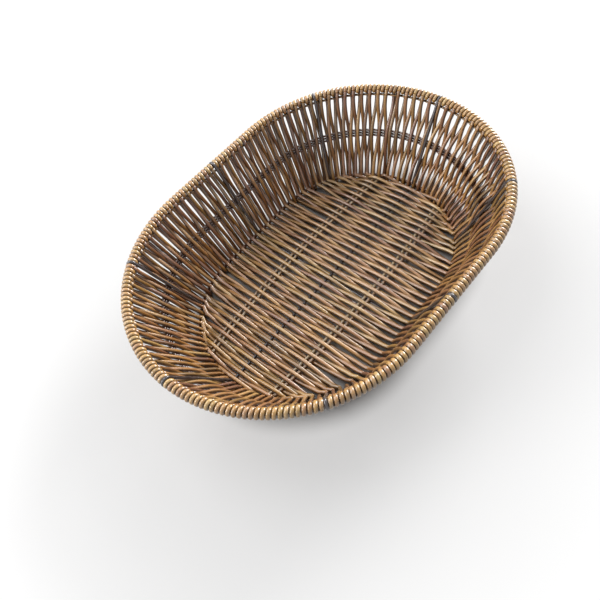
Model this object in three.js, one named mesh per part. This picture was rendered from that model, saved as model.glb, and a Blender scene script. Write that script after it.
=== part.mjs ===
// Oval open basket of round rattan strands, woven over a frame of steel wire.
// Millimetres, +Z up, +X along the length. The origin is on the table, under the middle.
//
// A wire rim and a wire base ring are joined by posts. Strands stand side by side round the
// wall in plain weave, and each takes a turn round the rim wire: what leaves the rim on the
// outside passes the band of weavers on the inside, and the base ring on the outside again.
// They turn in at the ring and form the floor, woven over long weavers and a spine wire.
// Between two posts the strands of the wall are one ribbed solid, and so are their turns
// round the rim, and those of each part of the floor.
import * as THREE from 'three';

// Rim and base ring, measured to the centre of the wire.
const rimHalfStraight = 49; // half of the straight stretch of each long side
const rimEndRadius = 126; // round ends of the rim
const rimHeight = 78; // above the table
const baseHalfStraight = 43;
const baseEndRadius = 91;

// Wires.
const ringWireDiameter = 3.3; // rim and base ring
const postWireDiameter = 2.8; // posts, spine and cross wire
const postCount = 8;
const hookOverrun = Math.PI / 6; // how far a post's hook goes past the level of the rim

// Strands.
const strandDiameter = 3.3;
const loopsPerBay = 30; // turns round the rim between two posts, and strands of the wall
const loopRelief = 1; // depth of the valley between two turns
const crossingThickness = 3.8; // of the wall where inner and outer strands change sides
const doubledStrands = [71, 180]; // places, in strands, where two like ones stand together

// Weavers that run round the wall.
const wallWeaverDiameter = 2.2;
const weaverPress = 0.8; // how far the strands press these in and out, which thins the wall
const bandHeight = 42; // middle of the band, above the table
const bandCount = 3;

// Long weavers of the floor, in one group on each side of the spine.
const floorWeaverDiameter = 2.6;
const floorWeaverPitch = 4.4; // between the two of a group
const floorGroupOffset = 43; // from the spine to the middle of a group
const floorGroupBow = 9; // how far a group draws in towards the spine at the ends

// Room between neighbouring pieces, and the fineness of the round stretches.
const clearance = 0.3;
const turnStep = Math.PI / 18;
const wrapSides = 7;
const wireSides = 6;
const hookSteps = 7;
const footStart = THREE.MathUtils.degToRad(151); // the wall's round foot, from its inner side
const footEnd = THREE.MathUtils.degToRad(367);
const footSteps = 3;
const lineSteps = 6; // along half a floor weaver
const halvings = 40;

// Sizes that follow.
const ringWireRadius = ringWireDiameter / 2;
const postRadius = postWireDiameter / 2;
const wallWeaverRadius = wallWeaverDiameter / 2;
const floorWeaverRadius = floorWeaverDiameter / 2;
const ringHeight = ringWireRadius + strandDiameter; // strands pass under the base ring
const rise = rimHeight - ringHeight;
const wrapRadius = ringWireRadius + strandDiameter;
const wallHalfThickness = wallWeaverRadius + strandDiameter - weaverPress;
const chordDepth = rimEndRadius * (1 - Math.cos(turnStep / 2)); // of a hoop's flats, at most
const postOffset = Math.max(ringWireRadius, wallWeaverRadius) + clearance + postRadius;
const floorHeight = Math.max(strandDiameter + postRadius, 3 * postRadius + clearance);
const floorThickness = 2 * floorHeight;
const crossWireHeight = floorHeight - 2 * postRadius - clearance;
const spineTop = floorHeight + postRadius;
const lapLength = 4 * rimHalfStraight + 2 * Math.PI * rimEndRadius;
const bayLength = lapLength / postCount;

// Half the gap that a post takes between two bays, along the rim, and the like gap of the
// walls, which is as wide at their foot.
const wrapNotchHalf = ((postRadius + clearance) * rimEndRadius) / (rimEndRadius - wrapRadius);
const footShare = Math.min((baseEndRadius - wrapRadius) / rimEndRadius, baseHalfStraight / rimHalfStraight);
const wallNotchHalf = (postRadius + clearance) / footShare;

const colours = {
  wire: { color: 0x23242c, roughness: 0.45, metalness: 0.85 },
  rim: { color: 0xb08a55, roughness: 0.5, metalness: 0 },
  wall: { color: 0x7c5636, roughness: 0.5, metalness: 0 },
  band: { color: 0x4a3020, roughness: 0.55, metalness: 0 },
  floor: { color: 0xa57f58, roughness: 0.5, metalness: 0 },
};

// A place round the basket, at a distance along the rim from the middle of the near side.
// share is its part of the straight half, and turn is the direction that it faces.
function spotAt(distance) {
  const arc = Math.PI * rimEndRadius;
  const along = ((distance % lapLength) + lapLength) % lapLength;
  if (along < rimHalfStraight) {
    return { share: along / rimHalfStraight, turn: -Math.PI / 2 };
  }
  if (along < rimHalfStraight + arc) {
    return { share: 1, turn: (along - rimHalfStraight) / rimEndRadius - Math.PI / 2 };
  }
  if (along < 3 * rimHalfStraight + arc) {
    return { share: (2 * rimHalfStraight + arc - along) / rimHalfStraight, turn: Math.PI / 2 };
  }
  if (along < 3 * rimHalfStraight + 2 * arc) {
    return { share: -1, turn: (along - 3 * rimHalfStraight - arc) / rimEndRadius + Math.PI / 2 };
  }
  return { share: (along - lapLength) / rimHalfStraight, turn: -Math.PI / 2 };
}

// The wall's middle surface runs straight from the rim wire to the base ring. At a depth
// from 0 at the rim to 1 at the ring, frameAt gives its point, with the directions out of
// the wall and up the wall, and the level ones.
function frameAt(spot, depth) {
  const level = new THREE.Vector3(Math.cos(spot.turn), Math.sin(spot.turn), 0);
  const halfStraight = THREE.MathUtils.lerp(rimHalfStraight, baseHalfStraight, depth);
  const radius = THREE.MathUtils.lerp(rimEndRadius, baseEndRadius, depth);
  const point = new THREE.Vector3(spot.share * halfStraight, 0, rimHeight - depth * rise);
  point.addScaledVector(level, radius);
  const shift = (rimHalfStraight - baseHalfStraight) * spot.share * level.x;
  const inset = rimEndRadius - baseEndRadius + shift;
  const slope = Math.hypot(inset, rise);
  const out = level.clone().multiplyScalar(rise / slope);
  out.z = -inset / slope;
  const up = level.clone().multiplyScalar(inset / slope);
  up.z = rise / slope;
  return { point, out, up, level };
}

// A point of a section that leans with the wall: out of it and up it from a depth.
function leaning(spot, depth, out, up) {
  const frame = frameAt(spot, depth);
  return frame.point.addScaledVector(frame.out, out).addScaledVector(frame.up, up);
}

// A point of an upright section: level outwards and straight up from a depth.
function upright(spot, depth, out, up) {
  const frame = frameAt(spot, depth);
  frame.point.addScaledVector(frame.level, out);
  frame.point.z += up;
  return frame.point;
}

// The depth of a height on the wall's middle surface.
function depthOf(height) {
  return (rimHeight - height) / rise;
}

// Stations round the rim: at each post, at each end of a straight stretch, and in steps of
// at most turnStep on the round ends. Pieces that run side by side share them.
function allStations() {
  const arc = Math.PI * rimEndRadius;
  const stops = [rimHalfStraight, rimHalfStraight + arc, 3 * rimHalfStraight + arc];
  stops.push(3 * rimHalfStraight + 2 * arc);
  for (let i = 0; i <= postCount; i++) {
    stops.push(i * bayLength);
  }
  stops.sort((a, b) => a - b);
  const distances = [0];
  for (let i = 1; i < stops.length; i++) {
    const length = stops[i] - stops[i - 1];
    if (length > clearance) {
      const middle = spotAt((stops[i] + stops[i - 1]) / 2);
      const bend = Math.abs(middle.share) === 1 ? length / rimEndRadius : 0;
      const steps = Math.max(1, Math.ceil(bend / turnStep));
      for (let k = 1; k <= steps; k++) {
        distances.push(stops[i - 1] + (length * k) / steps);
      }
    }
  }
  return distances;
}

const stations = allStations();

// The stations between two distances along the rim, with both ends.
function stationsBetween(start, end) {
  return [start, ...stations.filter((d) => d > start + clearance && d < end - clearance), end];
}

// One closed body of skins that run round the basket, against the clock seen from above.
// A skin is a list of rings of points. The first is the outside, with rings against the
// clock, and the others are bores, with the clock, seen with outwards to the right. flats
// gives each skin's first and last ring in the plane, for the body's two ends, and is left
// out where the body joins itself.
function loft(skins, flats) {
  const positions = [];
  const faces = [];
  const ends = [[], []];
  for (const rings of skins) {
    const size = rings[0].length;
    const base = positions.length / 3;
    const last = base + (rings.length - 1) * size;
    positions.push(...rings.flat().flatMap((point) => point.toArray()));
    const spans = flats ? rings.length - 1 : rings.length;
    for (let i = 0; i < spans; i++) {
      const here = base + i * size;
      const next = base + ((i + 1) % rings.length) * size;
      for (let a = 0; a < size; a++) {
        const b = (a + 1) % size;
        faces.push(here + a, next + b, here + b, here + a, next + a, next + b);
      }
    }
    for (let a = 0; a < size; a++) {
      ends[0].push(base + a);
      ends[1].push(last + a);
    }
  }
  if (flats) {
    const cap = ([outside, ...bores]) => THREE.ShapeUtils.triangulateShape(outside, bores);
    const [first, final] = flats.map(cap);
    for (const [a, b, c] of first) {
      faces.push(ends[0][a], ends[0][b], ends[0][c]);
    }
    for (const [a, b, c] of final) {
      faces.push(ends[1][c], ends[1][b], ends[1][a]);
    }
  }
  const geometry = new THREE.BufferGeometry();
  geometry.setAttribute('position', new THREE.Float32BufferAttribute(positions, 3));
  geometry.setIndex(faces);
  geometry.computeVertexNormals();
  return geometry;
}

// Points of a circle, against the clock, starting to the right.
function circle(radius, sides) {
  const points = [];
  for (let k = 0; k < sides; k++) {
    const angle = (2 * Math.PI * k) / sides;
    points.push(new THREE.Vector2(radius * Math.cos(angle), radius * Math.sin(angle)));
  }
  return points;
}

// A bore, with the clock, whose flats stay clear of a wire of the given radius.
function bore(radius, sides) {
  return circle((radius + clearance) / Math.cos(Math.PI / sides), sides).reverse();
}

// A closed round member that lies in the wall's middle surface, up the wall from a depth.
function hoop(radius, depth, up) {
  const section = circle(radius, wireSides);
  const spots = stations.slice(0, -1).map(spotAt);
  return loft([spots.map((spot) => section.map((p) => leaning(spot, depth, p.x, p.y + up)))]);
}

// Rim wrap of one bay: a sleeve round the rim wire, with a ridge for each turn of strand.
// Its outline runs forward along the bore and back along the ridges and valleys, and is
// turned about the wire.
function wrapGeometry(bay) {
  const start = bay * bayLength + wrapNotchHalf;
  const end = (bay + 1) * bayLength - wrapNotchHalf;
  const boreRadius = (ringWireRadius + clearance) / Math.cos(Math.PI / wrapSides);
  const outline = stationsBetween(start, end).map((distance) => ({ distance, radius: boreRadius }));
  const steps = 2 * loopsPerBay;
  for (let k = steps; k >= 0; k--) {
    const radius = k % 2 ? wrapRadius : wrapRadius - loopRelief;
    outline.push({ distance: start + ((end - start) * k) / steps, radius });
  }
  const rings = circle(1, wrapSides).map((direction) => {
    const place = ({ distance, radius }) =>
      upright(spotAt(distance), 0, radius * direction.x, radius * direction.y);
    return outline.map(place);
  });
  return loft([rings]);
}

// Room of the weaver under the rim wrap and of the band of weavers in the wall.
const rimWeaverDrop = wrapRadius + clearance + wallWeaverRadius;
const bandPitch = wallWeaverDiameter + clearance;
const bandReach = ((bandCount - 1) / 2) * bandPitch + wallWeaverRadius + clearance;
const bandDepth = depthOf(bandHeight);

// Depths of the rim weaver, and of the two places where the strands change sides.
const wallHeight = Math.hypot(rimHalfStraight + rimEndRadius - baseHalfStraight - baseEndRadius, rise);
const rimWeaverDepth = rimWeaverDrop / wallHeight;
const upperCrossing = (rimWeaverDepth + bandDepth) / 2;
const lowerCrossing = (bandDepth + 1) / 2;

// The side on which a strand leaves the rim: 1 for the outside and -1 for the inside.
function sideOf(strand) {
  const turned = strand >= doubledStrands[0] && strand < doubledStrands[1];
  return (strand + (turned ? 1 : 0)) % 2 === 0 ? 1 : -1;
}

// Outline of the woven wall at a strand, as marks: the depth of the member that a mark
// keeps to, and its distance out of the wall and up it from there. The wall stands out
// where the strand passes a member and draws back on the other side of it.
function wallOutline(side) {
  const half = wallHalfThickness;
  const slotWall = wallWeaverRadius + clearance + 2 * chordDepth;
  const top = -(rimWeaverDrop + wallWeaverRadius + clearance + chordDepth);
  const outer = side > 0;
  const outline = [
    { depth: lowerCrossing, out: crossingThickness / 2, up: 0 },
    { depth: bandDepth, out: outer ? slotWall : half, up: 0 },
    { depth: upperCrossing, out: crossingThickness / 2, up: 0 },
    { depth: 0, out: outer ? half : -wallWeaverRadius, up: top },
    { depth: 0, out: outer ? wallWeaverRadius : -half, up: top },
    { depth: upperCrossing, out: -crossingThickness / 2, up: 0 },
    { depth: bandDepth, out: outer ? -half : -slotWall, up: 0 },
    { depth: lowerCrossing, out: -crossingThickness / 2, up: 0 },
  ];
  for (let k = 0; k <= footSteps; k++) {
    const angle = footStart + ((footEnd - footStart) * k) / footSteps;
    const radius = outer === (k > 0) ? wrapRadius : wrapRadius - loopRelief;
    outline.push({ depth: 1, out: radius * Math.cos(angle), up: radius * Math.sin(angle) });
  }
  return outline;
}

// The slot in the woven wall that the band of weavers runs through.
function bandSlot() {
  const side = wallWeaverRadius + clearance;
  return [
    { depth: bandDepth, out: -side, up: -bandReach },
    { depth: bandDepth, out: -side, up: bandReach },
    { depth: bandDepth, out: side, up: bandReach },
    { depth: bandDepth, out: side, up: -bandReach },
  ];
}

// Woven wall of one bay, from the weaver under the rim to round the base ring, with a ring
// of its outside at each strand.
function wallGeometry(bay) {
  const start = bay * bayLength + wallNotchHalf;
  const end = (bay + 1) * bayLength - wallNotchHalf;
  const ringAt = (distance, marks) =>
    marks.map((mark) => leaning(spotAt(distance), mark.depth, mark.out, mark.up));
  const outlines = [];
  const outside = [];
  for (let k = 0; k < loopsPerBay; k++) {
    const marks = wallOutline(sideOf(bay * loopsPerBay + k));
    outlines.push(marks);
    outside.push(ringAt(start + ((end - start) * k) / (loopsPerBay - 1), marks));
  }
  const ringBore = bore(ringWireRadius, wireSides).map((p) => ({ depth: 1, out: p.x, up: p.y }));
  const bores = [bandSlot(), ringBore];
  const insides = bores.map((marks) => stationsBetween(start, end).map((d) => ringAt(d, marks)));
  const flatten = (mark) => new THREE.Vector2(mark.out, mark.up - mark.depth * wallHeight);
  const flats = [outlines[0], outlines[loopsPerBay - 1]].map((outline) =>
    [outline, ...bores].map((marks) => marks.map(flatten)),
  );
  return loft([outside, ...insides], flats);
}

// A post: a wire inside the wall's weavers, from over the floor's wires to a hook round
// the rim wire.
function postGeometry(index) {
  const spot = spotAt(index * bayLength);
  const frame = frameAt(spot, 1);
  const lowest = frame.point.z - (postOffset - postRadius) * frame.out.z;
  const foot = Math.max(0, (spineTop + clearance - lowest) / frame.up.z);
  const marks = [{ depth: 1, out: -postOffset, up: foot, lean: 0 }];
  for (let k = 0; k <= hookSteps; k++) {
    const swing = ((Math.PI + hookOverrun) * k) / hookSteps;
    const out = -postOffset * Math.cos(swing);
    marks.push({ depth: 0, out, up: postOffset * Math.sin(swing), lean: swing });
  }
  const section = circle(postRadius, wireSides);
  const side = new THREE.Vector3(-Math.sin(spot.turn), Math.cos(spot.turn), 0);
  const rings = marks.map((mark) => {
    const centre = leaning(spot, mark.depth, mark.out, mark.up);
    const { out, up } = frameAt(spot, mark.depth);
    const across = out.multiplyScalar(Math.cos(mark.lean)).addScaledVector(up, -Math.sin(mark.lean));
    return section.map((p) => centre.clone().addScaledVector(side, p.x).addScaledVector(across, p.y));
  });
  return loft([rings], [[section], [section]]);
}

// A straight wire between two points.
function rodGeometry(from, to, radius) {
  const path = new THREE.LineCurve3(from, to);
  const section = new THREE.Shape(circle(radius, wireSides));
  return new THREE.ExtrudeGeometry(section, { steps: 1, bevelEnabled: false, extrudePath: path });
}

// The floor's edge, inside the strands that turn round the base ring.
const floorEdgeRadius = (baseEndRadius - wrapRadius) * Math.cos(turnStep / 2) - clearance;
const baseHalfLength = baseHalfStraight + baseEndRadius;

// Distance from the spine of a line along a group of long weavers, at an offset from its
// middle.
function groupLine(x, offset) {
  return floorGroupOffset + offset - floorGroupBow * (x / baseHalfLength) ** 2;
}

// Where such a line meets the floor's edge, drawn in by a margin, found by halving.
function lineEnd(offset, margin) {
  const radius = floorEdgeRadius - margin;
  let low = 0;
  let high = baseHalfStraight + radius;
  for (let k = 0; k < halvings; k++) {
    const x = (low + high) / 2;
    const inside = Math.hypot(Math.max(0, x - baseHalfStraight), groupLine(x, offset)) < radius;
    if (inside) {
      low = x;
    } else {
      high = x;
    }
  }
  return low;
}

// One of the two long weavers of a group, drawn in towards the spine at both ends.
function floorWeaverGeometry(offset, signY) {
  const end = lineEnd(offset, floorWeaverRadius);
  class Bowed extends THREE.Curve {
    getPoint(share, target = new THREE.Vector3()) {
      const x = (2 * share - 1) * end;
      return target.set(x, signY * groupLine(x, offset), floorHeight);
    }
  }
  const section = new THREE.Shape(circle(floorWeaverRadius, wireSides));
  const sweep = { steps: 2 * lineSteps, bevelEnabled: false, extrudePath: new Bowed() };
  return new THREE.ExtrudeGeometry(section, sweep);
}

const groupHalfWidth = floorWeaverPitch / 2 + floorWeaverRadius + clearance;

// Points along a group's edge, from the cross wire out to the floor's edge.
function linePoints(offset) {
  const start = postRadius + clearance;
  const end = lineEnd(offset, 0);
  const points = [];
  for (let k = 0; k <= lineSteps; k++) {
    const x = start + ((end - start) * k) / lineSteps;
    points.push(new THREE.Vector2(x, groupLine(x, offset)));
  }
  return points;
}

// Points of the floor's edge between two directions.
function edgePoints(fromAngle, toAngle) {
  const steps = Math.max(1, Math.ceil(Math.abs(toAngle - fromAngle) / turnStep));
  const points = [];
  for (let k = 1; k < steps; k++) {
    const angle = fromAngle + ((toAngle - fromAngle) * k) / steps;
    const x = baseHalfStraight + floorEdgeRadius * Math.cos(angle);
    points.push(new THREE.Vector2(x, floorEdgeRadius * Math.sin(angle)));
  }
  return points;
}

// Direction in which the floor's edge shows a point on it.
function edgeAngle(point) {
  return Math.atan2(point.y, point.x - baseHalfStraight);
}

// Woven floor of one quarter, between the spine and a group of long weavers.
function innerFloorOutline() {
  const start = postRadius + clearance;
  const line = linePoints(-groupHalfWidth);
  const edgeFoot = Math.asin(start / floorEdgeRadius);
  const foot = new THREE.Vector2(baseHalfStraight + floorEdgeRadius * Math.cos(edgeFoot), start);
  const edge = edgePoints(edgeFoot, edgeAngle(line[line.length - 1]));
  return [new THREE.Vector2(start, start), foot, ...edge, ...line.reverse()];
}

// Woven floor of one quarter, between a group of long weavers and the floor's edge.
function outerFloorOutline() {
  const line = linePoints(groupHalfWidth);
  const edge = edgePoints(edgeAngle(line[line.length - 1]), Math.PI / 2);
  const corner = new THREE.Vector2(baseHalfStraight, floorEdgeRadius);
  return [...line, ...edge, corner, new THREE.Vector2(postRadius + clearance, floorEdgeRadius)];
}

// A flat floor piece for the quarter given by the signs of x and y.
function floorGeometry(outline, signX, signY) {
  const shape = new THREE.Shape(outline.map((p) => new THREE.Vector2(p.x * signX, p.y * signY)));
  return new THREE.ExtrudeGeometry(shape, { depth: floorThickness, bevelEnabled: false });
}

const basket = new THREE.Group();

function add(name, geometry, look) {
  const mesh = new THREE.Mesh(geometry, new THREE.MeshStandardMaterial(colours[look]));
  mesh.name = name;
  basket.add(mesh);
}

// Wire frame.
add('rim_wire', hoop(ringWireRadius, 0, 0), 'wire');
add('base_ring_wire', hoop(ringWireRadius, 1, 0), 'wire');
for (let i = 0; i < postCount; i++) {
  add(`post_wire_${i + 1}`, postGeometry(i), 'wire');
}
const spineEnd = baseHalfLength - ringWireRadius - clearance;
const spineFrom = new THREE.Vector3(-spineEnd, 0, floorHeight);
const spineTo = new THREE.Vector3(spineEnd, 0, floorHeight);
add('floor_spine_wire', rodGeometry(spineFrom, spineTo, postRadius), 'wire');
const crossFrom = new THREE.Vector3(0, -baseEndRadius, crossWireHeight);
const crossTo = new THREE.Vector3(0, baseEndRadius, crossWireHeight);
add('floor_cross_wire', rodGeometry(crossFrom, crossTo, postRadius), 'wire');

// Weavers round the wall.
add('rim_weaver', hoop(wallWeaverRadius, 0, -rimWeaverDrop), 'wall');
for (let i = 0; i < bandCount; i++) {
  const up = ((bandCount - 1) / 2 - i) * bandPitch;
  add(`band_weaver_${i + 1}`, hoop(wallWeaverRadius, bandDepth, up), 'band');
}

// Strands of each bay: round the rim, and down the wall and under the base ring.
for (let i = 0; i < postCount; i++) {
  add(`rim_wrap_${i + 1}`, wrapGeometry(i), 'rim');
  add(`wall_strands_${i + 1}`, wallGeometry(i), 'wall');
}

// Floor: long weavers on both sides of the spine, and the strands between them.
for (const [word, signY] of [['near', -1], ['far', 1]]) {
  add(`${word}_floor_weaver_inner`, floorWeaverGeometry(-floorWeaverPitch / 2, signY), 'floor');
  add(`${word}_floor_weaver_outer`, floorWeaverGeometry(floorWeaverPitch / 2, signY), 'floor');
  for (const [end, signX] of [['left', -1], ['right', 1]]) {
    add(`${word}_${end}_floor_strands_inner`, floorGeometry(innerFloorOutline(), signX, signY), 'floor');
    add(`${word}_${end}_floor_strands_outer`, floorGeometry(outerFloorOutline(), signX, signY), 'floor');
  }
}

export default basket;
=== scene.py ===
# Oval open basket of round rattan strands, woven over a frame of steel wire.
# Metres, +Z up, +X along the basket's length, the origin on the table under its middle.
#
# The rim, the base ring, the band and the floor's wires are where the frame has them. Each
# of the 240 strands of the wall is a round tube of its own. It takes a turn round the rim
# wire and runs down the wall in plain weave: what leaves the rim on the outside passes the
# band on the inside and the base ring on the outside again. 140 of their ends go on across
# the floor, as 70 strands from the near side to the far side, by turns over and under the
# floor's weavers and its spine. The others end under the base ring.
#
# A place on the wall is given by its distance along the rim, from the middle of the near
# side, and by its depth, the share of the way from the rim down to the base ring.

import math

import bpy
import numpy as np
from mathutils import Matrix, Vector


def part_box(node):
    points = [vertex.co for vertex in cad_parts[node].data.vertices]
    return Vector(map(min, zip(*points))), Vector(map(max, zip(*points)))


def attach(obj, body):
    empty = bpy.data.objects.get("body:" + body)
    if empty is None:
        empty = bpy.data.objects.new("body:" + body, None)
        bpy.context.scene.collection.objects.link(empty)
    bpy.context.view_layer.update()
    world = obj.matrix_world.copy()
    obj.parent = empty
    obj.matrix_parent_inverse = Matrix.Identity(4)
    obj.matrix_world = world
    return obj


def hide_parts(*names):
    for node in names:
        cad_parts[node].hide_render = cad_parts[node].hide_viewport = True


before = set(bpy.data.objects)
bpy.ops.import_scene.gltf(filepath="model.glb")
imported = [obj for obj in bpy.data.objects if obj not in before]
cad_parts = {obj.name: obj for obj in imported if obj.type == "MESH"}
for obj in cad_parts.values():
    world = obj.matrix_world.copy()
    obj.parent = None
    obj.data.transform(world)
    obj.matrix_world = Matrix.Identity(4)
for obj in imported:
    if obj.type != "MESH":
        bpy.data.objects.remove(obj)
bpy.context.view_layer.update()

MM = 0.001
X_AXIS = np.array([1.0, 0.0, 0.0])
UP = np.array([0.0, 0.0, 1.0])
TINY = 1e-9  # keeps what is divided by above zero

rng = np.random.default_rng(41)

# Strands, posts and the bays between posts.
STRAND_RADIUS = 1.75 * MM
RADIUS_VARIETY = 0.03  # spread of the strands' radii, as a share
POST_COUNT = 8
STRANDS_PER_BAY = 30
STRAND_COUNT = POST_COUNT * STRANDS_PER_BAY
DOUBLED = (71, 180)  # places, in strands, where two like ones stand together
CLEARANCE = 0.3 * MM  # between a post and the rim wire, and between the band's weavers
NOTCH_SHARE = 0.85  # half a post's gap, in the post's radii, as the turns beside it press on it
SPINE_SHARE = 0.75  # the spine's radius, in the posts' radii

# A strand's turn round the rim.
LOOP_WIDTH = 1.08  # how much wider than round a strand is pressed where it turns on the rim
LOOP_THICKNESS = 0.86  # and how much thinner
LOOP_SWEEP = math.radians(206)
LOOP_STEPS = 13
LOOP_SLANT = 0.2  # sideways shift in a quarter turn, in pitches of the turns
WIDEN_STEPS = 2  # points of the wall over which a pressed strand grows round again

# A strand's way down the wall. The shifts are sideways, one way for a strand that left the
# rim on the outside and the other way for its neighbours.
WALL_DEPTHS = np.linspace(0.0, 0.93, 21)[1:]
TOP_DEPTH = 0.1
TOP_SHIFT = 1.25 * MM
BAND_SHIFT = 1.1 * MM
LOW_DEPTH = 0.9
LOW_SHIFT = 0.95 * MM
RING_SHIFT = 0.65 * MM
SPREAD_DEPTH = 0.35  # by here the strands have closed up beside the posts
WEAVER_WAVE = 0.8 * MM  # how far the wall's weavers are pressed in and out

# How much strands stray: sideways in one swing and in two down the wall, and out of it.
SWAY = np.array([1.3, 1.2, 0.6]) * MM

# Places where the weave stands open: between which strands, how far down the wall, and how
# far the next strand is pushed aside.
OPEN_PLACES = ((104.5, 0.7, 1.5 * MM), (110.5, 0.15, 1.3 * MM))
OPEN_STRANDS = 1.2  # how fast the push dies away, in strands
OPEN_REACH = 0.1  # and along the wall, in depth

# A strand's turn at the base ring. Where it passes over the ring into the floor, these are
# offsets from the ring's centre, outwards and up. Elsewhere they are angles round it, up
# from straight out, in degrees.
OVER_TURN = ((-1.5 * MM, 4.2 * MM), (-3.3 * MM, 3.15 * MM))
UNDER_ANGLES = (-28, -52, -76, -98)
END_ANGLES = (-155, -125, -95, -65)  # of a strand from the inside that ends under the ring

# Strands of the floor.
FLOOR_STRANDS = 70
FLOOR_PITCH = 3.7 * MM
FLOOR_MIDDLE_GAP = 1.6 * MM  # extra room at the wire that crosses under the floor
FLOOR_BOW = 0.035  # share by which the outermost floor strands draw in at the ring
FLOOR_STEP = 3.6 * MM  # from one point of a floor strand to the next
FLOOR_START = 8 * MM  # from the ring to the floor strand's first place
FLOOR_SHIFT = -0.15 * MM  # sideways, by turns to either side where it crosses a member
FLOOR_SWAY = 0.8 * MM
FLOOR_SINK = 0.4 * MM  # how much lower a strand that comes over the ring aims
LEAST_HEIGHT = STRAND_RADIUS * 1.02  # of a floor strand's centreline over the table

# Where the grain of a strand's floor part, and of its part at the far side, starts.
FLOOR_GRAIN = 0.4
FAR_GRAIN = 1.0

# Hoops, posts and rods.
HOOP_STEPS = 4  # points of a hoop at each strand
RIM_WEAVER_UP = 1.6 * MM  # the rim's weaver is pushed up against the turns
BAND_COUNT = 3
POST_STEPS = 12
HOOK_STEPS = 16
HOOK_SWEEP = math.radians(210)
ROD_STEPS = 60
CROSS_STEPS = 40

# Fineness of the tubes, and their rounded ends.
STRAND_SIDES = 10
WIRE_SIDES = 12
ROUND_END = ((0.5, 0.87), (0.87, 0.5), (0.98, 0.2))  # how far on, and how wide, in radii

# Studio.
PAPER_HALF = 6.0  # half the side of the paper
PAPER_ALBEDO = 0.4
PAPER_GLOW = 0.5  # of the paper for the camera, outside the basket's foot
PAPER_RISE = 0.03  # over which it rises from the base ring outwards
PAPER_FAR_GLOW = 0.65  # more of it, far from the basket
PAPER_FAR = 0.6  # from the base ring to where the paper is white by its glow alone
WORLD_LIGHT = 0.08
LIGHT_AIM = (0.0, 0.0, 0.03)
LIGHTS = (  # name, place, width, and power in watts
    ("key_light", (-0.1, 0.95, 1.4), 1.2, 13.0),
    ("left_fill_light", (-1.2, 1.0, 0.7), 0.8, 13.0),
    ("right_fill_light", (1.45, 0.15, 0.6), 0.8, 33.0),
)

# The camera's place, its own axes in the basket's frame, and its lens in millimetres.
CAMERA_PLACE = (-0.22284, -0.24895, 0.46466)
CAMERA_X = (0.6417117, -0.7513544, -0.1538592)
CAMERA_Y = (0.6894112, 0.4772134, 0.5449583)
CAMERA_Z = (-0.3360331, -0.4557784, 0.8242256)
CAMERA_LENS = 37.2
CAMERA_SENSOR = 36.0


# Sizes read from the frame.

def ring_of(node):
    """Half straight, end radius, height and wire radius of an oval wire ring of the frame."""
    low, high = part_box(node)
    wire = (high.z - low.z) / 2
    radius = (high.y - low.y) / 2 - wire
    straight = (high.x - low.x) / 2 - wire - radius
    return straight, radius, (high.z + low.z) / 2, wire


def height_and_half(node):
    """Middle height of a level member of the frame, and half its height."""
    low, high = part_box(node)
    return (low.z + high.z) / 2, (high.z - low.z) / 2


RIM_STRAIGHT, RIM_RADIUS, RIM_HEIGHT, RING_WIRE = ring_of("rim_wire")
BASE_STRAIGHT, BASE_RADIUS, BASE_HEIGHT, _ = ring_of("base_ring_wire")
BAND_HEIGHT, WEAVER_RADIUS = height_and_half("band_weaver_2")
RIM_WEAVER_HEIGHT, _ = height_and_half("rim_weaver")
SPINE_HEIGHT, POST_RADIUS = height_and_half("floor_spine_wire")
SPINE_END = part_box("floor_spine_wire")[1].x
CROSS_HEIGHT, _ = height_and_half("floor_cross_wire")

RISE = RIM_HEIGHT - BASE_HEIGHT
LAP = 4 * RIM_STRAIGHT + 2 * math.pi * RIM_RADIUS
BAY = LAP / POST_COUNT
BASE_HALF_LENGTH = BASE_STRAIGHT + BASE_RADIUS
BAND_DEPTH = (RIM_HEIGHT - BAND_HEIGHT) / RISE
BAND_PITCH = 2 * WEAVER_RADIUS + CLEARANCE
RIM_WEAVER_DEPTH = (RIM_HEIGHT - RIM_WEAVER_HEIGHT) / RISE

POST_OFFSET = RING_WIRE + POST_RADIUS + CLEARANCE
NOTCH_HALF = NOTCH_SHARE * POST_RADIUS
SPINE_RADIUS = SPINE_SHARE * POST_RADIUS
LOOP_RADIUS = RING_WIRE + STRAND_RADIUS * LOOP_THICKNESS
LOOP_PITCH = (BAY - 2 * NOTCH_HALF) / STRANDS_PER_BAY
LOOP_SHIFT = LOOP_PITCH * LOOP_SLANT
WEAVER_SIDE = WEAVER_RADIUS + STRAND_RADIUS - WEAVER_WAVE

# A strand's offset out of the wall, and its sideways shift, at depths down the wall.
OFFSET_KEYS = (
    (0.0, LOOP_RADIUS),
    (RIM_WEAVER_DEPTH, WEAVER_SIDE),
    (BAND_DEPTH, -WEAVER_SIDE),
    (1.0, LOOP_RADIUS),
)
SHIFT_KEYS = (
    (0.0, -LOOP_SHIFT),
    (TOP_DEPTH, -TOP_SHIFT),
    (BAND_DEPTH, BAND_SHIFT),
    (LOW_DEPTH, -LOW_SHIFT),
    (1.0, -RING_SHIFT),
)


def floor_pair():
    """The two long weavers side by side in each half of the floor: their radius, their
    pitch, how far their middle lies from the spine, and how far it draws in at the ends."""
    inner_low, inner_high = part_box("far_floor_weaver_inner")
    _, outer_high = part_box("far_floor_weaver_outer")
    radius = (inner_high.z - inner_low.z) / 2
    pitch = outer_high.y - inner_high.y
    offset = (outer_high.y + inner_high.y) / 2 - radius
    bow = (inner_high.y - inner_low.y - 2 * radius) * (BASE_HALF_LENGTH / inner_high.x) ** 2
    return radius, pitch, offset, bow


FLOOR_WEAVER_RADIUS, PAIR_PITCH, PAIR_OFFSET, PAIR_BOW = floor_pair()
FLOOR_LIFT = FLOOR_WEAVER_RADIUS + STRAND_RADIUS


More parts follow.
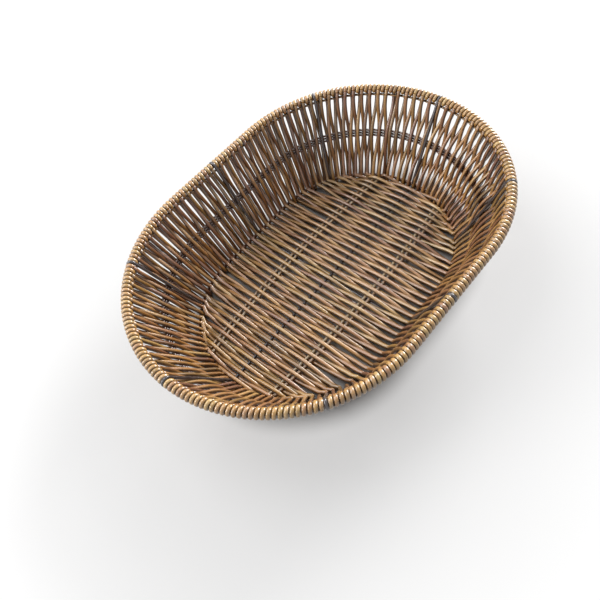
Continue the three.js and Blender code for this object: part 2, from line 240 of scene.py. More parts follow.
def pair_line(x):
    """How far the middle of a pair of floor weavers lies from the spine."""
    return PAIR_OFFSET - PAIR_BOW * (x / BASE_HALF_LENGTH) ** 2


# Places on the wall.

def spot_at(distance):
    """Share of the straight half, and direction faced, at a distance along the rim."""
    arc = math.pi * RIM_RADIUS
    along = distance % LAP
    if along < RIM_STRAIGHT:
        return along / RIM_STRAIGHT, -math.pi / 2
    if along < RIM_STRAIGHT + arc:
        return 1.0, (along - RIM_STRAIGHT) / RIM_RADIUS - math.pi / 2
    if along < 3 * RIM_STRAIGHT + arc:
        return (2 * RIM_STRAIGHT + arc - along) / RIM_STRAIGHT, math.pi / 2
    if along < 3 * RIM_STRAIGHT + 2 * arc:
        return -1.0, (along - 3 * RIM_STRAIGHT - arc) / RIM_RADIUS + math.pi / 2
    return (along - LAP) / RIM_STRAIGHT, -math.pi / 2


def wall_frame(distance, depth):
    """Point of the wall's middle surface, the directions out of it and up it, and the level
    direction that it faces."""
    share, turn = spot_at(distance)
    level = np.array([math.cos(turn), math.sin(turn), 0.0])
    straight = RIM_STRAIGHT + (BASE_STRAIGHT - RIM_STRAIGHT) * depth
    radius = RIM_RADIUS + (BASE_RADIUS - RIM_RADIUS) * depth
    point = level * radius + np.array([share * straight, 0.0, RIM_HEIGHT - depth * RISE])
    inset = RIM_RADIUS - BASE_RADIUS + (RIM_STRAIGHT - BASE_STRAIGHT) * share * level[0]
    slope = math.hypot(inset, RISE)
    out = (level * RISE - UP * inset) / slope
    up = (level * inset + UP * RISE) / slope
    return point, out, up, level


def wall_point(distance, depth, out=0.0, up=0.0):
    """A point beside the wall's middle surface, out of it and up it."""
    point, out_direction, up_direction, _ = wall_frame(distance, depth)
    return point + out * out_direction + up * up_direction


def round_rim(distance, radius, angle):
    """A point beside the rim's centre, at an angle from straight out of the wall."""
    return wall_point(distance, 0.0, radius * math.cos(angle), radius * math.sin(angle))


def rim_tangent(distance):
    """The direction along the rim."""
    _, turn = spot_at(distance)
    return np.array([-math.sin(turn), math.cos(turn), 0.0])


def ease(share):
    """A share from 0 to 1 with a soft start and end."""
    return (1 - math.cos(math.pi * min(1.0, max(0.0, share)))) / 2


def blend_keys(keys, x):
    """Eased value at x between (place, value) pairs in rising order."""
    if x <= keys[0][0]:
        return keys[0][1]
    for (x0, y0), (x1, y1) in zip(keys, keys[1:]):
        if x <= x1:
            return y0 + (y1 - y0) * ease((x - x0) / (x1 - x0))
    return keys[-1][1]


# Tubes.

def tube_rings(points, radius, sides, closed=False):
    """Rings of points round a centreline, turned as little as possible from one to the next."""
    points = np.asarray(points, float)
    if closed:
        tangents = np.roll(points, -1, 0) - np.roll(points, 1, 0)
    else:
        tangents = np.gradient(points, axis=0)
    tangents /= np.linalg.norm(tangents, axis=1)[:, None]
    side = np.cross(tangents[0], UP)
    if np.linalg.norm(side) < 0.1:  # the tube starts upright, or nearly so
        side = np.cross(tangents[0], X_AXIS)
    angles = np.arange(sides) * 2 * math.pi / sides
    rings = np.empty((len(points), sides, 3))
    for i, (point, tangent) in enumerate(zip(points, tangents)):
        side = side - tangent * (side @ tangent)
        side /= np.linalg.norm(side)
        other = np.cross(tangent, side)
        circle = np.cos(angles)[:, None] * side + np.sin(angles)[:, None] * other
        rings[i] = point + radius * circle
    return rings


class Piece:
    """One mesh of one or more tubes, with the values that its material reads: grain, the
    place along and round the strand, tone, three numbers of the strand's own, and crevice,
    how much a side faces the neighbouring strands, which sets where painted shade darkens it."""

    def __init__(self):
        self.vertices, self.faces = [], []
        self.grain, self.tone, self.crevice = [], [], []

    def add_rings(self, rings, points, neighbours, tone, start, ends=(None, None), closed=False):
        """Adds a tube. neighbours are the directions in which the next tubes lie, start is
        where its grain starts, and ends says for each end whether it is cut flat, None, or
        rounded off with a radius."""
        rings, points = np.asarray(rings), np.asarray(points)
        neighbours = np.asarray(neighbours)
        if not closed:
            rings, points, neighbours = self.with_ends(rings, points, neighbours, ends)
        count, sides = rings.shape[:2]
        base = len(self.vertices)
        steps = np.linalg.norm(np.diff(points, axis=0), axis=1)
        along = start + np.concatenate([[0.0], np.cumsum(steps)])
        spokes = rings - points[:, None]
        lengths = np.maximum(np.linalg.norm(spokes, axis=2), TINY)
        facing = np.abs(np.einsum("ijk,ik->ij", spokes, neighbours)) / lengths
        angles = np.arange(sides) * 2 * math.pi / sides
        around = [(math.cos(a) * STRAND_RADIUS, math.sin(a) * STRAND_RADIUS) for a in angles]
        for i in range(count):
            for j in range(sides):
                self.vertices.append(rings[i, j])
                self.grain.append((along[i], *around[j]))
                self.tone.append(tone)
                self.crevice.append(facing[i, j])
        spans = count if closed else count - 1
        for i in range(spans):
            here, there = base + i * sides, base + ((i + 1) % count) * sides
            for j in range(sides):
                k = (j + 1) % sides
                self.faces.append((here + j, here + k, there + k, there + j))
        if not closed:
            self.faces.append(tuple(base + j for j in reversed(range(sides))))
            last = base + (count - 1) * sides
            self.faces.append(tuple(last + j for j in range(sides)))

    @staticmethod
    def with_ends(rings, points, neighbours, ends):
        """Rings, points and neighbours of a tube with the rings of its rounded ends added."""
        head, tail = [], []
        for end, row, ahead, found in ((ends[0], 0, 1, head), (ends[1], -1, -2, tail)):
            if end is not None:
                outward = points[row] - points[ahead]
                outward /= np.linalg.norm(outward)
                for on, wide in ROUND_END:
                    centre = points[row] + outward * on * end
                    found.append((centre, centre + (rings[row] - points[row]) * wide))
        head.reverse()
        points = np.array([c for c, _ in head] + list(points) + [c for c, _ in tail])
        rings = np.array([r for _, r in head] + list(rings) + [r for _, r in tail])
        first, last = [neighbours[0]] * len(head), [neighbours[-1]] * len(tail)
        return rings, points, np.array(first + list(neighbours) + last)

    def make(self, name, material, slot, *nodes):
        """Makes the object, which takes the place of nodes of the frame."""
        mesh = bpy.data.meshes.new(name)
        mesh.from_pydata([tuple(v) for v in self.vertices], [], self.faces)
        mesh.polygons.foreach_set("use_smooth", [True] * len(mesh.polygons))
        for title, kind, key, values in (
            ("grain", "FLOAT_VECTOR", "vector", self.grain),
            ("tone", "FLOAT_VECTOR", "vector", self.tone),
            ("crevice", "FLOAT", "value", self.crevice),
        ):
            attribute = mesh.attributes.new(title, kind, "POINT")
            attribute.data.foreach_set(key, np.array(values, np.float32).ravel())
        mesh.materials.append(material)
        mesh.update()
        piece = bpy.data.objects.new(name, mesh)
        bpy.context.scene.collection.objects.link(piece)
        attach(piece, "root")
        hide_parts(*nodes)


def random_tone():
    return tuple(float(x) for x in rng.random(3))


# Node trees.

class Shading:
    """A node tree, with short ways to add the nodes in use. What a node is given is a
    number, a vector, a colour or the output of another node."""

    def __init__(self, tree):
        self.tree = tree
        tree.nodes.clear()

    def add(self, kind, given, **settings):
        """Adds a node. given is what its inputs are given, by name or by place."""
        node = self.tree.nodes.new(kind)
        for name, value in settings.items():
            setattr(node, name, value)
        for place, value in given.items():
            self.give(node.inputs[place], value)
        return node

    def give(self, socket, value):
        if isinstance(value, bpy.types.NodeSocket):
            self.tree.links.new(value, socket)
        else:
            socket.default_value = value

    def attribute(self, name):
        return self.add("ShaderNodeAttribute", {}, attribute_name=name)

    def split(self, vector):
        return self.add("ShaderNodeSeparateXYZ", {0: vector}).outputs

    def scalar(self, operation, *values):
        """Arithmetic with numbers."""
        return self.add("ShaderNodeMath", dict(enumerate(values)), operation=operation).outputs[0]

    def stretched(self, vector, factors, shift=(0.0, 0.0, 0.0)):
        """A vector times factors, plus a shift."""
        given = {0: vector, 1: factors, 2: shift}
        return self.add("ShaderNodeVectorMath", given, operation="MULTIPLY_ADD").outputs[0]

    def noise(self, place, detail):
        given = {"Vector": place, "Scale": 1.0, "Detail": detail}
        return self.add("ShaderNodeTexNoise", given).outputs["Fac"]

    def scaled(self, value, low, high, to_low, to_high, kind="LINEAR"):
        """A value carried from one range to another, and held inside it."""
        given = {
            "Value": value, "From Min": low, "From Max": high, "To Min": to_low, "To Max": to_high}
        return self.add("ShaderNodeMapRange", given, interpolation_type=kind).outputs["Result"]

    def ramp(self, value, places, colours):
        """A colour by value, between colours at places in rising order."""
        node = self.add("ShaderNodeValToRGB", {"Fac": value})
        elements = node.color_ramp.elements
        for i in (0, -1):
            elements[i].position = places[i]
            elements[i].color = colours[i]
        for place, colour in zip(places[1:-1], colours[1:-1]):
            elements.new(place).color = colour
        return node.outputs["Color"]

    def mixed(self, first, second, share):
        """A mix of two colours, by the second's share."""
        node = self.add("ShaderNodeMix", {}, data_type="RGBA")
        inputs = [socket for socket in node.inputs if socket.enabled]
        for socket, value in zip(inputs, (share, first, second)):
            self.give(socket, value)
        return next(socket for socket in node.outputs if socket.enabled)

    def bump(self, height, strength, distance):
        given = {"Height": height, "Strength": strength, "Distance": distance}
        return self.add("ShaderNodeBump", given).outputs[0]

    def seen_share(self):
        """1 where the camera sees a surface itself, or in a glossy or clear one, and else 0."""
        path = self.add("ShaderNodeLightPath", {}).outputs
        mirrored = self.scalar("MAXIMUM", path["Is Glossy Ray"], path["Is Transmission Ray"])
        return self.scalar("MAXIMUM", path["Is Camera Ray"], mirrored)


def linear(red, green, blue):
    """A linear colour with full alpha from a written one, 0 to 255."""
    found = []
    for value in (red, green, blue):
        share = value / 255
        found.append(share / 12.92 if share <= 0.04045 else ((share + 0.055) / 1.055) ** 2.4)
    return (*found, 1.0)


WHITE = (1.0, 1.0, 1.0, 1.0)


# Materials.

# Patterns of the rattan: fineness along and across the strand, per metre, detail, and how
# far apart the patterns of two strands lie.
DRIFT = (35, 60, 2, 50)
FIBRE = (260, 2600, 3, 90)
SPECK = (700, 900, 2, 130)

# A strand's place on its ramp of colours is this share of its drift, plus a number of its
# own that lies about the second.
DRIFT_SHARE = 0.9
OWN_MIDDLE = 0.05
RAMP_PLACES = (0.12, 0.38, 0.65, 0.95)

ROSY = linear(170, 118, 98)
OLIVE = linear(158, 136, 72)
TINT_SHARE = 0.42  # of the rosy or the olive tint, at most
FIBRE_BROWN = linear(92, 56, 26)
SPECK_BROWN = linear(48, 28, 14)
# Painted shade: a dark brown laid on the sides of strands that face their neighbours, where shade
# falls between them.
PAINTED_SHADE_BROWN = linear(46, 22, 8)
PAINTED_SHADE_END = 0.97  # how much a side faces a neighbour where the painted shade is full

WEAR_FINENESS = (120, 900, 900)  # of the wire's lacquer, along and across it, per metre
WEAR_PLACES = (0.35, 0.75)


def new_material(name):
    """A material, and its shading, to which a surface is still to be added."""
    material = bpy.data.materials.new(name)
    material.use_nodes = True
    return material, Shading(material.node_tree)


def finish_surface(shading, settings):
    surface = shading.add("ShaderNodeBsdfPrincipled", settings)
    shading.add("ShaderNodeOutputMaterial", {"Surface": surface.outputs[0]})


def rattan(name, colours, variety, shade_start, shade_share):
    """Round rattan core: a tone for each strand, drifting along it, with fine grain along
    it and painted shade, a darker brown, on the sides where it meets its neighbours.
    variety is how much strands differ, and the painted shade starts where a side faces a
    neighbour by more than the start given."""
    material, shading = new_material(name)
    tone = shading.attribute("tone").outputs["Vector"]
    grain = shading.attribute("grain").outputs["Vector"]
    crevice = shading.attribute("crevice").outputs["Fac"]
    own = shading.split(tone)

    def pattern(along, across, detail, spread):
        shift = shading.stretched(tone, (spread, spread, spread))
        return shading.noise(shading.stretched(grain, (along, across, across), shift), detail)

    drift, fibre, speck = pattern(*DRIFT), pattern(*FIBRE), pattern(*SPECK)
    shift = shading.scaled(own["X"], 0.0, 1.0, OWN_MIDDLE - variety, OWN_MIDDLE + variety)
    place = shading.scalar("MULTIPLY_ADD", drift, DRIFT_SHARE, shift)
    colour = shading.ramp(place, RAMP_PLACES, colours)
    for over, followed, start, end, share in (
        (ROSY, own["Y"], 0.5, 1.0, TINT_SHARE),
        (OLIVE, own["Y"], 0.45, 0.0, TINT_SHARE),
        (FIBRE_BROWN, fibre, 0.5, 0.75, 0.5),
        (SPECK_BROWN, speck, 0.66, 0.8, 0.55),
        # painted shade on the sides that face the neighbouring strands
        (PAINTED_SHADE_BROWN, crevice, shade_start, PAINTED_SHADE_END, shade_share),
    ):
        colour = shading.mixed(colour, over, shading.scaled(followed, start, end, 0.0, share))
    finish_surface(shading, {
        "Base Color": colour,
        "Roughness": shading.scaled(fibre, 0.3, 0.7, 0.28, 0.42),
        "Specular IOR Level": 1.0,
        "Coat Weight": 0.6,
        "Coat Roughness": 0.3,
        "Normal": shading.bump(fibre, 0.35, 0.15 * MM),
    })
    return material


def lacquered_wire(name, dark, rubbed):
    """Dark lacquer over drawn wire, rubbed lighter in places."""
    material, shading = new_material(name)
    grain = shading.attribute("grain").outputs["Vector"]
    wear = shading.noise(shading.stretched(grain, WEAR_FINENESS), 3)
    finish_surface(shading, {
        "Base Color": shading.ramp(wear, WEAR_PLACES, (dark, rubbed)),
        "Roughness": shading.scaled(wear, 0.0, 1.0, 0.25, 0.5),
        "Metallic": 0.35,
        "Coat Weight": 1.0,
        "Coat Roughness": 0.18,
        "Normal": shading.bump(wear, 0.2, 0.1 * MM),
    })
    return material


# The turns on the rim, the wall and the floor are one strand, in lit and shaded copies of its colour:
# painted light makes the rim's turns lighter than the floor, and painted shade makes the wall darker.
PAINTED_LIGHT_RIM_RATTAN = rattan(
    "rim_rattan",
    (linear(170, 118, 56), linear(208, 154, 78), linear(232, 184, 106), linear(244, 212, 144)),
    variety=0.2, shade_start=0.62, shade_share=0.85,
)
PAINTED_SHADE_WALL_RATTAN = rattan(
    "wall_rattan",
    (linear(108, 62, 24), linear(156, 104, 44), linear(196, 142, 72), linear(226, 182, 112)),
    variety=0.34, shade_start=0.5, shade_share=0.9,
)
FLOOR_RATTAN = rattan(
    "floor_rattan",
    (linear(130, 84, 34), linear(176, 126, 60), linear(210, 160, 90), linear(232, 194, 130)),
    variety=0.3, shade_start=0.58, shade_share=0.75,
)
# Painted shade: the band's weavers are coloured dark for the shade they lie in.
PAINTED_SHADE_BAND_RATTAN = rattan(
    "band_rattan",
    (linear(40, 22, 12), linear(54, 32, 18), linear(70, 44, 26), linear(90, 60, 38)),
    variety=0.3, shade_start=0.5, shade_share=0.5,
)
PALE_RATTAN = rattan(
    "pale_rattan",
    (linear(214, 186, 146), linear(232, 208, 170), linear(242, 224, 194), linear(248, 236, 214)),
    variety=0.3, shade_start=0.7, shade_share=0.4,
)
WIRE = lacquered_wire("frame_wire", linear(44, 38, 40), linear(92, 84, 86))
HIDDEN_WIRE = lacquered_wire("hidden_wire", linear(92, 56, 34), linear(128, 84, 54))


# Strands of the wall.

def strand_distance(k):
    """Where strand k leaves the rim, as a distance along it."""
    bay, place = divmod(k % STRAND_COUNT, STRANDS_PER_BAY)
    return bay * BAY + NOTCH_HALF + (place + 0.5) * LOOP_PITCH


def strand_side(k):
    """+1 for a strand that leaves the rim on the outside, -1 for one that leaves it on the
    inside. Two like strands stand side by side at one place towards each end."""
    between = DOUBLED[0] <= k % STRAND_COUNT < DOUBLED[1]
    return 1 if (k + between) % 2 == 0 else -1


def open_push(k, depth):
    """Sideways push of the open places on a strand."""
    push = 0.0
    for place, middle, reach in OPEN_PLACES:
        away = abs(k - place) - 0.5
        fall = math.exp(-away / OPEN_STRANDS - ((depth - middle) / OPEN_REACH) ** 2)
        push += math.copysign(reach, k - place) * fall
    return push


class Strand:
    """The part of one strand from its end at the rim to the base ring."""

    def __init__(self, k):
        self.bay, place = divmod(k, STRANDS_PER_BAY)
        self.k = k
        self.side = strand_side(k)
        self.distance = strand_distance(k)
        self.spread = (self.bay + (place + 0.5) / STRANDS_PER_BAY) * BAY - self.distance
        self.radius = STRAND_RADIUS * (1 + RADIUS_VARIETY * (rng.random() - 0.5))
        self.tone = random_tone()
        self.sway = (rng.random(3) - 0.5) * SWAY

    def upper_points(self):
        """From the tucked end, round the rim wire, down to just over the base ring."""
        start = 0.0 if self.side > 0 else math.pi
        found = []
        for i in range(LOOP_STEPS):
            angle = start + self.side * LOOP_SWEEP * (1 - i / LOOP_STEPS)
            shift = LOOP_SHIFT * (angle - math.pi / 2) / (math.pi / 2)
            found.append(round_rim(self.distance + shift, LOOP_RADIUS, angle))
        found.append(wall_point(self.distance - self.side * LOOP_SHIFT, 0.0, self.side * LOOP_RADIUS))
        for depth in WALL_DEPTHS:
            once, twice = math.sin(math.pi * depth), math.sin(2 * math.pi * depth)
            out = self.side * blend_keys(OFFSET_KEYS, depth)
            out += once * self.sway[2] * abs(out) / LOOP_RADIUS
            shift = self.side * blend_keys(SHIFT_KEYS, depth)
            shift += once * self.sway[0] + twice * self.sway[1]
            shift += self.spread * ease(depth / SPREAD_DEPTH) + open_push(self.k, depth)
            found.append(wall_point(self.distance + shift, depth, out))
        return found

    def ring_place(self):
        """Centre of the base ring where the strand passes it, and the direction out of it."""
        point, _, _, level = wall_frame(self.distance + self.spread - self.side * RING_SHIFT, 1.0)
        return point, level

    def round_ring(self, angles):
        """Points beside the base ring's centre, at angles up from straight out, in degrees."""
        centre, level = self.ring_place()
        turns = [math.radians(angle) for angle in angles]
        return [centre + LOOP_RADIUS * (level * math.cos(t) + UP * math.sin(t)) for t in turns]

    def turn_to_floor(self):
        """The turn at the base ring of a strand that goes on into the floor."""
        if self.side > 0:
            return self.round_ring(UNDER_ANGLES)
        centre, level = self.ring_place()
        return [centre + level * out + UP * up for out, up in OVER_TURN]

    def turn_to_end(self):
        """The turn at the base ring of a strand that ends there."""
        return self.round_ring(UNDER_ANGLES if self.side > 0 else END_ANGLES)


# Strands of the floor.

def floor_x(i):
    """Where the floor's right half has a strand, counted from the middle outwards."""
    return FLOOR_MIDDLE_GAP / 2 + (i + 0.5) * FLOOR_PITCH


def ring_reach(k):
    """How far along the basket's length, from its middle, strand k meets the base ring."""
    point, _, _, _ = wall_frame(strand_distance(k), 1.0)
    return abs(point[0])


def floor_ends(first, step):
    """Strands of one side whose ends go on into the floor's right half, from its middle
    outwards. Each lies as near as it can to its floor strand, and in step with it."""
    half = FLOOR_STRANDS // 2
    found, k = [], first
    for i in range(half):
        target = floor_x(i) * (1 - FLOOR_BOW * (floor_x(i) / floor_x(half - 1)) ** 2)
        if i > 0:
            k = min((k + step * n for n in (1, 3, 5)), key=lambda c: abs(ring_reach(c) - target))
        found.append(k % STRAND_COUNT)
    return found


def mirrored(ends):
    """The strands of the left half that mirror some of the right half."""
    return [STRAND_COUNT - 1 - k for k in ends]


def floor_points(x, near, far, sway):
    """Centreline of a floor strand from near ring to far ring, at x in the middle."""
    near_centre, _ = near.ring_place()
    far_centre, _ = far.ring_place()
    side = -near.side
    row = pair_line(x)
    low, high = near_centre[1], far_centre[1]
    ring_lift = LOOP_RADIUS - FLOOR_SINK if side > 0 else -LOOP_RADIUS
    lifts = (
        (low, ring_lift),
        (-row, -side * FLOOR_LIFT),
        (0.0, side * (SPINE_RADIUS + STRAND_RADIUS)),
        (row, -side * FLOOR_LIFT),
        (high, ring_lift),
    )
    shifts = tuple((y, s * side * FLOOR_SHIFT) for (y, _), s in zip(lifts, (1, -1, 1, -1, 1)))
    steps = int((high - low - 2 * FLOOR_START) / FLOOR_STEP)
    found = []
    for y in np.linspace(low + FLOOR_START, high - FLOOR_START, steps):
        end = near_centre if y < 0 else far_centre
        line = x + (end[0] - x) * (y / end[1]) ** 2
        line += blend_keys(shifts, y) + sway * math.sin(math.pi * (y - low) / (high - low) * 2)
        found.append(np.array([line, y, max(SPINE_HEIGHT + blend_keys(lifts, y), LEAST_HEIGHT)]))
    return found


# The weave.

def refined(points, first, last):
    """Points with two more between each pair from first to last, on a smooth curve."""
    found = list(points[:first])
    for i in range(first, last):
        p0, p1, p2, p3 = (np.asarray(points[j]) for j in (i - 1, i, i + 1, i + 2))
        for share in (0.0, 1 / 3, 2 / 3):
            t2, t3 = share ** 2, share ** 3
            found.append(0.5 * (
                2 * p1 + (p2 - p0) * share
                + (2 * p0 - 5 * p1 + 4 * p2 - p3) * t2
                + (3 * p1 - p0 - 3 * p2 + p3) * t3))
    return found + list(points[last:])


def grounded_tube(path, radius):
    """Rings and points of a strand along a path, none of it lower than the table."""
    points = np.array(path)
    points[:, 2] = np.maximum(points[:, 2], radius)
    return tube_rings(points, radius, STRAND_SIDES), points


def pressed(rings, points, strand):
    """Rings of a strand's turn round the rim, pressed wider along the rim and thinner."""
    centre, _, _, _ = wall_frame(strand.distance, 0.0)
    tangent = rim_tangent(strand.distance)
    found = []
    for ring, point in zip(rings, points):
        outward = point - centre
        outward -= tangent * (outward @ tangent)
        outward /= np.linalg.norm(outward)
        spokes = ring - point
        wider = (LOOP_WIDTH - 1) * np.outer(spokes @ tangent, tangent)
        thinner = (LOOP_THICKNESS - 1) * np.outer(spokes @ outward, outward)
        found.append(ring + wider + thinner)
    return np.array(found)


class Weave:
    """The pieces of the weave: the turns on the rim and the wall for each bay between two
    posts, and the two halves of the floor."""

    def __init__(self):
        self.rims = [Piece() for _ in range(POST_COUNT)]
        self.walls = [Piece() for _ in range(POST_COUNT)]
        self.floors = {name: Piece() for name in ("left", "right")}

    def add_upper(self, strand, rings, points, start=0.0, tail=None):
        """Adds a strand's turn round the rim and its wall part to the pieces of its bay.
        rings and points run from the tucked end down to the ring's turn. start is where
        the grain starts, and tail is the radius of a rounded lower end."""
        beside = np.tile(rim_tangent(strand.distance), (len(points), 1))
        top, low = slice(0, LOOP_STEPS + 1), slice(LOOP_STEPS, None)
        self.rims[strand.bay].add_rings(
            pressed(rings[top], points[top], strand), points[top], beside[top],
            strand.tone, start, (strand.radius, None))
        length = float(np.sum(np.linalg.norm(np.diff(points[top], axis=0), axis=1)))
        rings = rings.copy()
        for i in range(LOOP_STEPS, LOOP_STEPS + WIDEN_STEPS):
            share = 1 - (i - LOOP_STEPS) / WIDEN_STEPS
            flat = pressed(rings[i:i + 1], points[i:i + 1], strand)[0]
            rings[i] += (flat - rings[i]) * share
        self.walls[strand.bay].add_rings(
            rings[low], points[low], beside[low], strand.tone, start + length, (None, tail))

    def add_through(self, half, near, far, x):
        """Adds a strand from the near rim across half of the floor, at x, to the far rim."""
        far.tone, far.radius = near.tone, near.radius
        sway = (rng.random() - 0.5) * FLOOR_SWAY
        head, near_turn = near.upper_points(), near.turn_to_floor()
        tail, far_turn = far.upper_points(), far.turn_to_floor()
        middle = floor_points(x, near, far, sway)
        path = head + near_turn + middle + far_turn[::-1] + tail[::-1]
        first, last = len(head) - 2, len(head) + len(near_turn) + 1
        path = refined(path, len(path) - last - 1, len(path) - first - 1)
        path = refined(path, first, last)
        rings, points = grounded_tube(path, near.radius)
        near_split = len(head) + 2 * (len(head) - first) + 2
        far_split = len(points) - near_split - 1
        self.add_upper(near, rings[:near_split + 1], points[:near_split + 1])
        across = slice(near_split, far_split + 1)
        beside = np.tile(X_AXIS, (far_split - near_split + 1, 1))
        self.floors[half].add_rings(rings[across], points[across], beside, near.tone, FLOOR_GRAIN)
        self.add_upper(far, rings[far_split:][::-1], points[far_split:][::-1], FAR_GRAIN)

    def add_ending(self, strand):
        """Adds a strand that takes a turn round the base ring and ends under it."""
        head, turn = strand.upper_points(), strand.turn_to_end()
        path = refined(head + turn, len(head) - 2, len(head) + len(turn) - 2)
        rings, points = grounded_tube(path, strand.radius)
        self.add_upper(strand, rings, points, tail=strand.radius)

    def make(self):
        for i, (rim, wall) in enumerate(zip(self.rims, self.walls)):
            rim.make(f"rim_loops_{i + 1}", PAINTED_LIGHT_RIM_RATTAN, "rim_rattan", f"rim_wrap_{i + 1}")
            wall.make(f"wall_weave_{i + 1}", PAINTED_SHADE_WALL_RATTAN, "wall_rattan", f"wall_strands_{i + 1}")
        for half, piece in self.floors.items():
            nodes = [
                f"{word}_{half}_floor_strands_{part}"
                for word in ("near", "far") for part in ("inner", "outer")]
            piece.make(f"floor_weave_{half}", FLOOR_RATTAN, "floor_rattan", *nodes)


def make_weave():
    weave = Weave()
    strands = [Strand(k) for k in range(STRAND_COUNT)]
    near_right, far_right = floor_ends(0, 1), floor_ends(STRAND_COUNT // 2 - 1, -1)
    used = set()
    for half, sign, nears, fars in (
        ("right", 1, near_right, far_right),
        ("left", -1, mirrored(near_right), mirrored(far_right)),
    ):
        for i, (near, far) in enumerate(zip(nears, fars)):
            weave.add_through(half, strands[near], strands[far], sign * floor_x(i))
            used.update((near, far))
    for strand in strands:
        if strand.k not in used:
            weave.add_ending(strand)
    weave.make()


# Hoops in the wall.

def make_hoop(node, material, slot, radius, depth, up=0.0, wave=0.0):
    """An oval ring in the wall, up it from a depth. wave is how far a strand that left the
    rim on the outside presses it out of the wall, and its neighbours press it back."""
    count = HOOP_STEPS * STRAND_COUNT
    points = []
    for i in range(count):
        place = i / HOOP_STEPS - 0.5
        k = math.floor(place)
        share = strand_side(k) + (strand_side(k + 1) - strand_side(k)) * ease(place - k)
        points.append(wall_point(LAP * i / count, depth, wave * share, up))
    rings = tube_rings(points, radius, WIRE_SIDES, closed=True)
    piece = Piece()
    # The neighbours lie above and below, so a weaver's painted shade darkens its top and bottom.
    piece.add_rings(rings, points, np.tile(UP, (count, 1)), random_tone(), 0.0, closed=True)
    piece.make(f"look_{node}", material, slot, node)


def make_ring_wires():
    make_hoop("rim_wire", HIDDEN_WIRE, "frame_wire", RING_WIRE, 0.0)
    make_hoop("base_ring_wire", HIDDEN_WIRE, "frame_wire", RING_WIRE, 1.0)


def make_wall_weavers():
    make_hoop(
        "rim_weaver", PAINTED_SHADE_WALL_RATTAN, "band_rattan", WEAVER_RADIUS, RIM_WEAVER_DEPTH,
        RIM_WEAVER_UP, -WEAVER_WAVE)
    for i in range(BAND_COUNT):
        up = ((BAND_COUNT - 1) / 2 - i) * BAND_PITCH
        make_hoop(
            f"band_weaver_{i + 1}", PAINTED_SHADE_BAND_RATTAN, "band_rattan", WEAVER_RADIUS, BAND_DEPTH,
            up, WEAVER_WAVE)


# Posts, and the floor's wires and weavers.

def make_rod(node, material, slot, points, radius, ends=(None, None)):
    """A round member that takes the place of a node of the frame."""
    rings = tube_rings(points, radius, WIRE_SIDES)
    beside = np.cross(np.gradient(np.asarray(points), axis=0), UP)
    beside /= np.maximum(np.linalg.norm(beside, axis=1), TINY)[:, None]
    piece = Piece()
    piece.add_rings(rings, points, beside, random_tone(), 0.0, ends)
    piece.make(f"look_{node}", material, slot, node)


def make_posts():
    """Wires that stand inside the wall and hook over the rim wire."""
    for i in range(POST_COUNT):
        node, distance = f"post_wire_{i + 1}", i * BAY
        foot = (RIM_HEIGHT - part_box(node)[0].z) / RISE
        shaft = [foot * (1 - k / POST_STEPS) for k in range(POST_STEPS)]
        hook = [math.pi - HOOK_SWEEP * k / HOOK_STEPS for k in range(HOOK_STEPS + 1)]
        points = [wall_point(distance, depth, -POST_OFFSET) for depth in shaft]
        points += [round_rim(distance, POST_OFFSET, angle) for angle in hook]
        make_rod(node, WIRE, "frame_wire", points, POST_RADIUS, (None, POST_RADIUS))


def make_floor_wires():
    xs = np.linspace(-SPINE_END, SPINE_END, ROD_STEPS)
    spine = [np.array([x, 0.0, SPINE_HEIGHT]) for x in xs]
    make_rod("floor_spine_wire", WIRE, "frame_wire", spine, SPINE_RADIUS)
    ys = np.linspace(-BASE_RADIUS, BASE_RADIUS, CROSS_STEPS)
    cross = [np.array([0.0, y, CROSS_HEIGHT]) for y in ys]
    make_rod("floor_cross_wire", WIRE, "frame_wire", cross, POST_RADIUS)


def make_floor_weavers():
    for word, sign in (("near", -1), ("far", 1)):
        for part, offset in (("inner", -PAIR_PITCH / 2), ("outer", PAIR_PITCH / 2)):
            node = f"{word}_floor_weaver_{part}"
            low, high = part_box(node)
            xs = np.linspace(low.x, high.x, ROD_STEPS)
            points = [np.array([x, sign * (pair_line(x) + offset), SPINE_HEIGHT]) for x in xs]
            make_rod(
                node, PALE_RATTAN, "floor_rattan", points,
                FLOOR_WEAVER_RADIUS, (FLOOR_WEAVER_RADIUS, FLOOR_WEAVER_RADIUS))


# Floor, backdrop, light and camera.

def paper_glow(shading):
    """Glow of the paper, by how far it lies outside the base ring."""
    place = shading.split(shading.add("ShaderNodeNewGeometry", {}).outputs["Position"])
    past = shading.scalar("SUBTRACT", shading.scalar("ABSOLUTE", place["X"]), BASE_STRAIGHT)
    beyond = shading.add(
        "ShaderNodeCombineXYZ", {"X": shading.scalar("MAXIMUM", past, 0.0), "Y": place["Y"]})
    length = shading.add("ShaderNodeVectorMath", {0: beyond.outputs[0]}, operation="LENGTH")
    near, far = (
        shading.scaled(
            length.outputs["Value"], BASE_RADIUS, BASE_RADIUS + reach, 0.0, glow, "SMOOTHSTEP")
        for reach, glow in ((PAPER_RISE, PAPER_GLOW), (PAPER_FAR, PAPER_FAR_GLOW)))
    return shading.scalar("ADD", near, far)


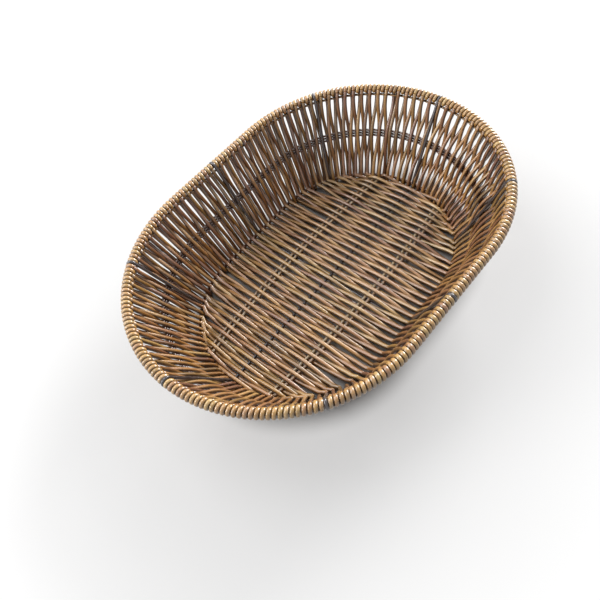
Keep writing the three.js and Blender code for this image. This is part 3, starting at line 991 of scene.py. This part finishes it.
def paper_material():
    """Pale paper that reads as white to the camera and keeps the shadow on it."""
    material, shading = new_material("studio_paper")
    finish_surface(shading, {
        "Base Color": (PAPER_ALBEDO, PAPER_ALBEDO, PAPER_ALBEDO, 1.0),
        "Roughness": 0.9,
        "Specular IOR Level": 0.0,
        "Emission Color": WHITE,
        "Emission Strength": shading.scalar("MULTIPLY", shading.seen_share(), paper_glow(shading)),
    })
    return material


def make_paper():
    half = PAPER_HALF
    mesh = bpy.data.meshes.new("studio_floor")
    corners = [(-half, -half, 0), (half, -half, 0), (half, half, 0), (-half, half, 0)]
    mesh.from_pydata(corners, [], [(0, 1, 2, 3)])
    mesh.materials.append(paper_material())
    floor = bpy.data.objects.new("studio_floor", mesh)
    bpy.context.scene.collection.objects.link(floor)


def make_world():
    """A dim white world, which the camera and what is glossy or clear see as full white."""
    world = bpy.data.worlds.new("studio")
    bpy.context.scene.world = world
    world.use_nodes = True
    shading = Shading(world.node_tree)
    light, white = (
        shading.add("ShaderNodeBackground", {"Color": WHITE, "Strength": strength}).outputs[0]
        for strength in (WORLD_LIGHT, 1.0))
    mix = shading.add("ShaderNodeMixShader", {0: shading.seen_share(), 1: light, 2: white})
    shading.add("ShaderNodeOutputWorld", {"Surface": mix.outputs[0]})


def make_lights():
    for name, place, size, power in LIGHTS:
        data = bpy.data.lights.new(name, "AREA")
        data.shape = "DISK"
        data.size = size
        data.energy = power
        light = bpy.data.objects.new(name, data)
        light.location = place
        aim = Vector(LIGHT_AIM) - Vector(place)
        light.rotation_mode = "QUATERNION"
        light.rotation_quaternion = aim.to_track_quat("-Z", "Y")
        bpy.context.scene.collection.objects.link(light)


def make_camera():
    data = bpy.data.cameras.new("camera")
    data.lens = CAMERA_LENS
    data.sensor_width = CAMERA_SENSOR
    camera = bpy.data.objects.new("camera", data)
    camera.location = CAMERA_PLACE
    turn = Matrix((CAMERA_X, CAMERA_Y, CAMERA_Z)).transposed()
    camera.rotation_mode = "QUATERNION"
    camera.rotation_quaternion = turn.to_quaternion()
    bpy.context.scene.collection.objects.link(camera)
    bpy.context.scene.camera = camera


make_weave()
make_ring_wires()
make_wall_weavers()
make_posts()
make_floor_wires()
make_floor_weavers()

make_paper()
make_world()
make_lights()
make_camera()
bpy.context.scene.view_settings.view_transform = "Standard"
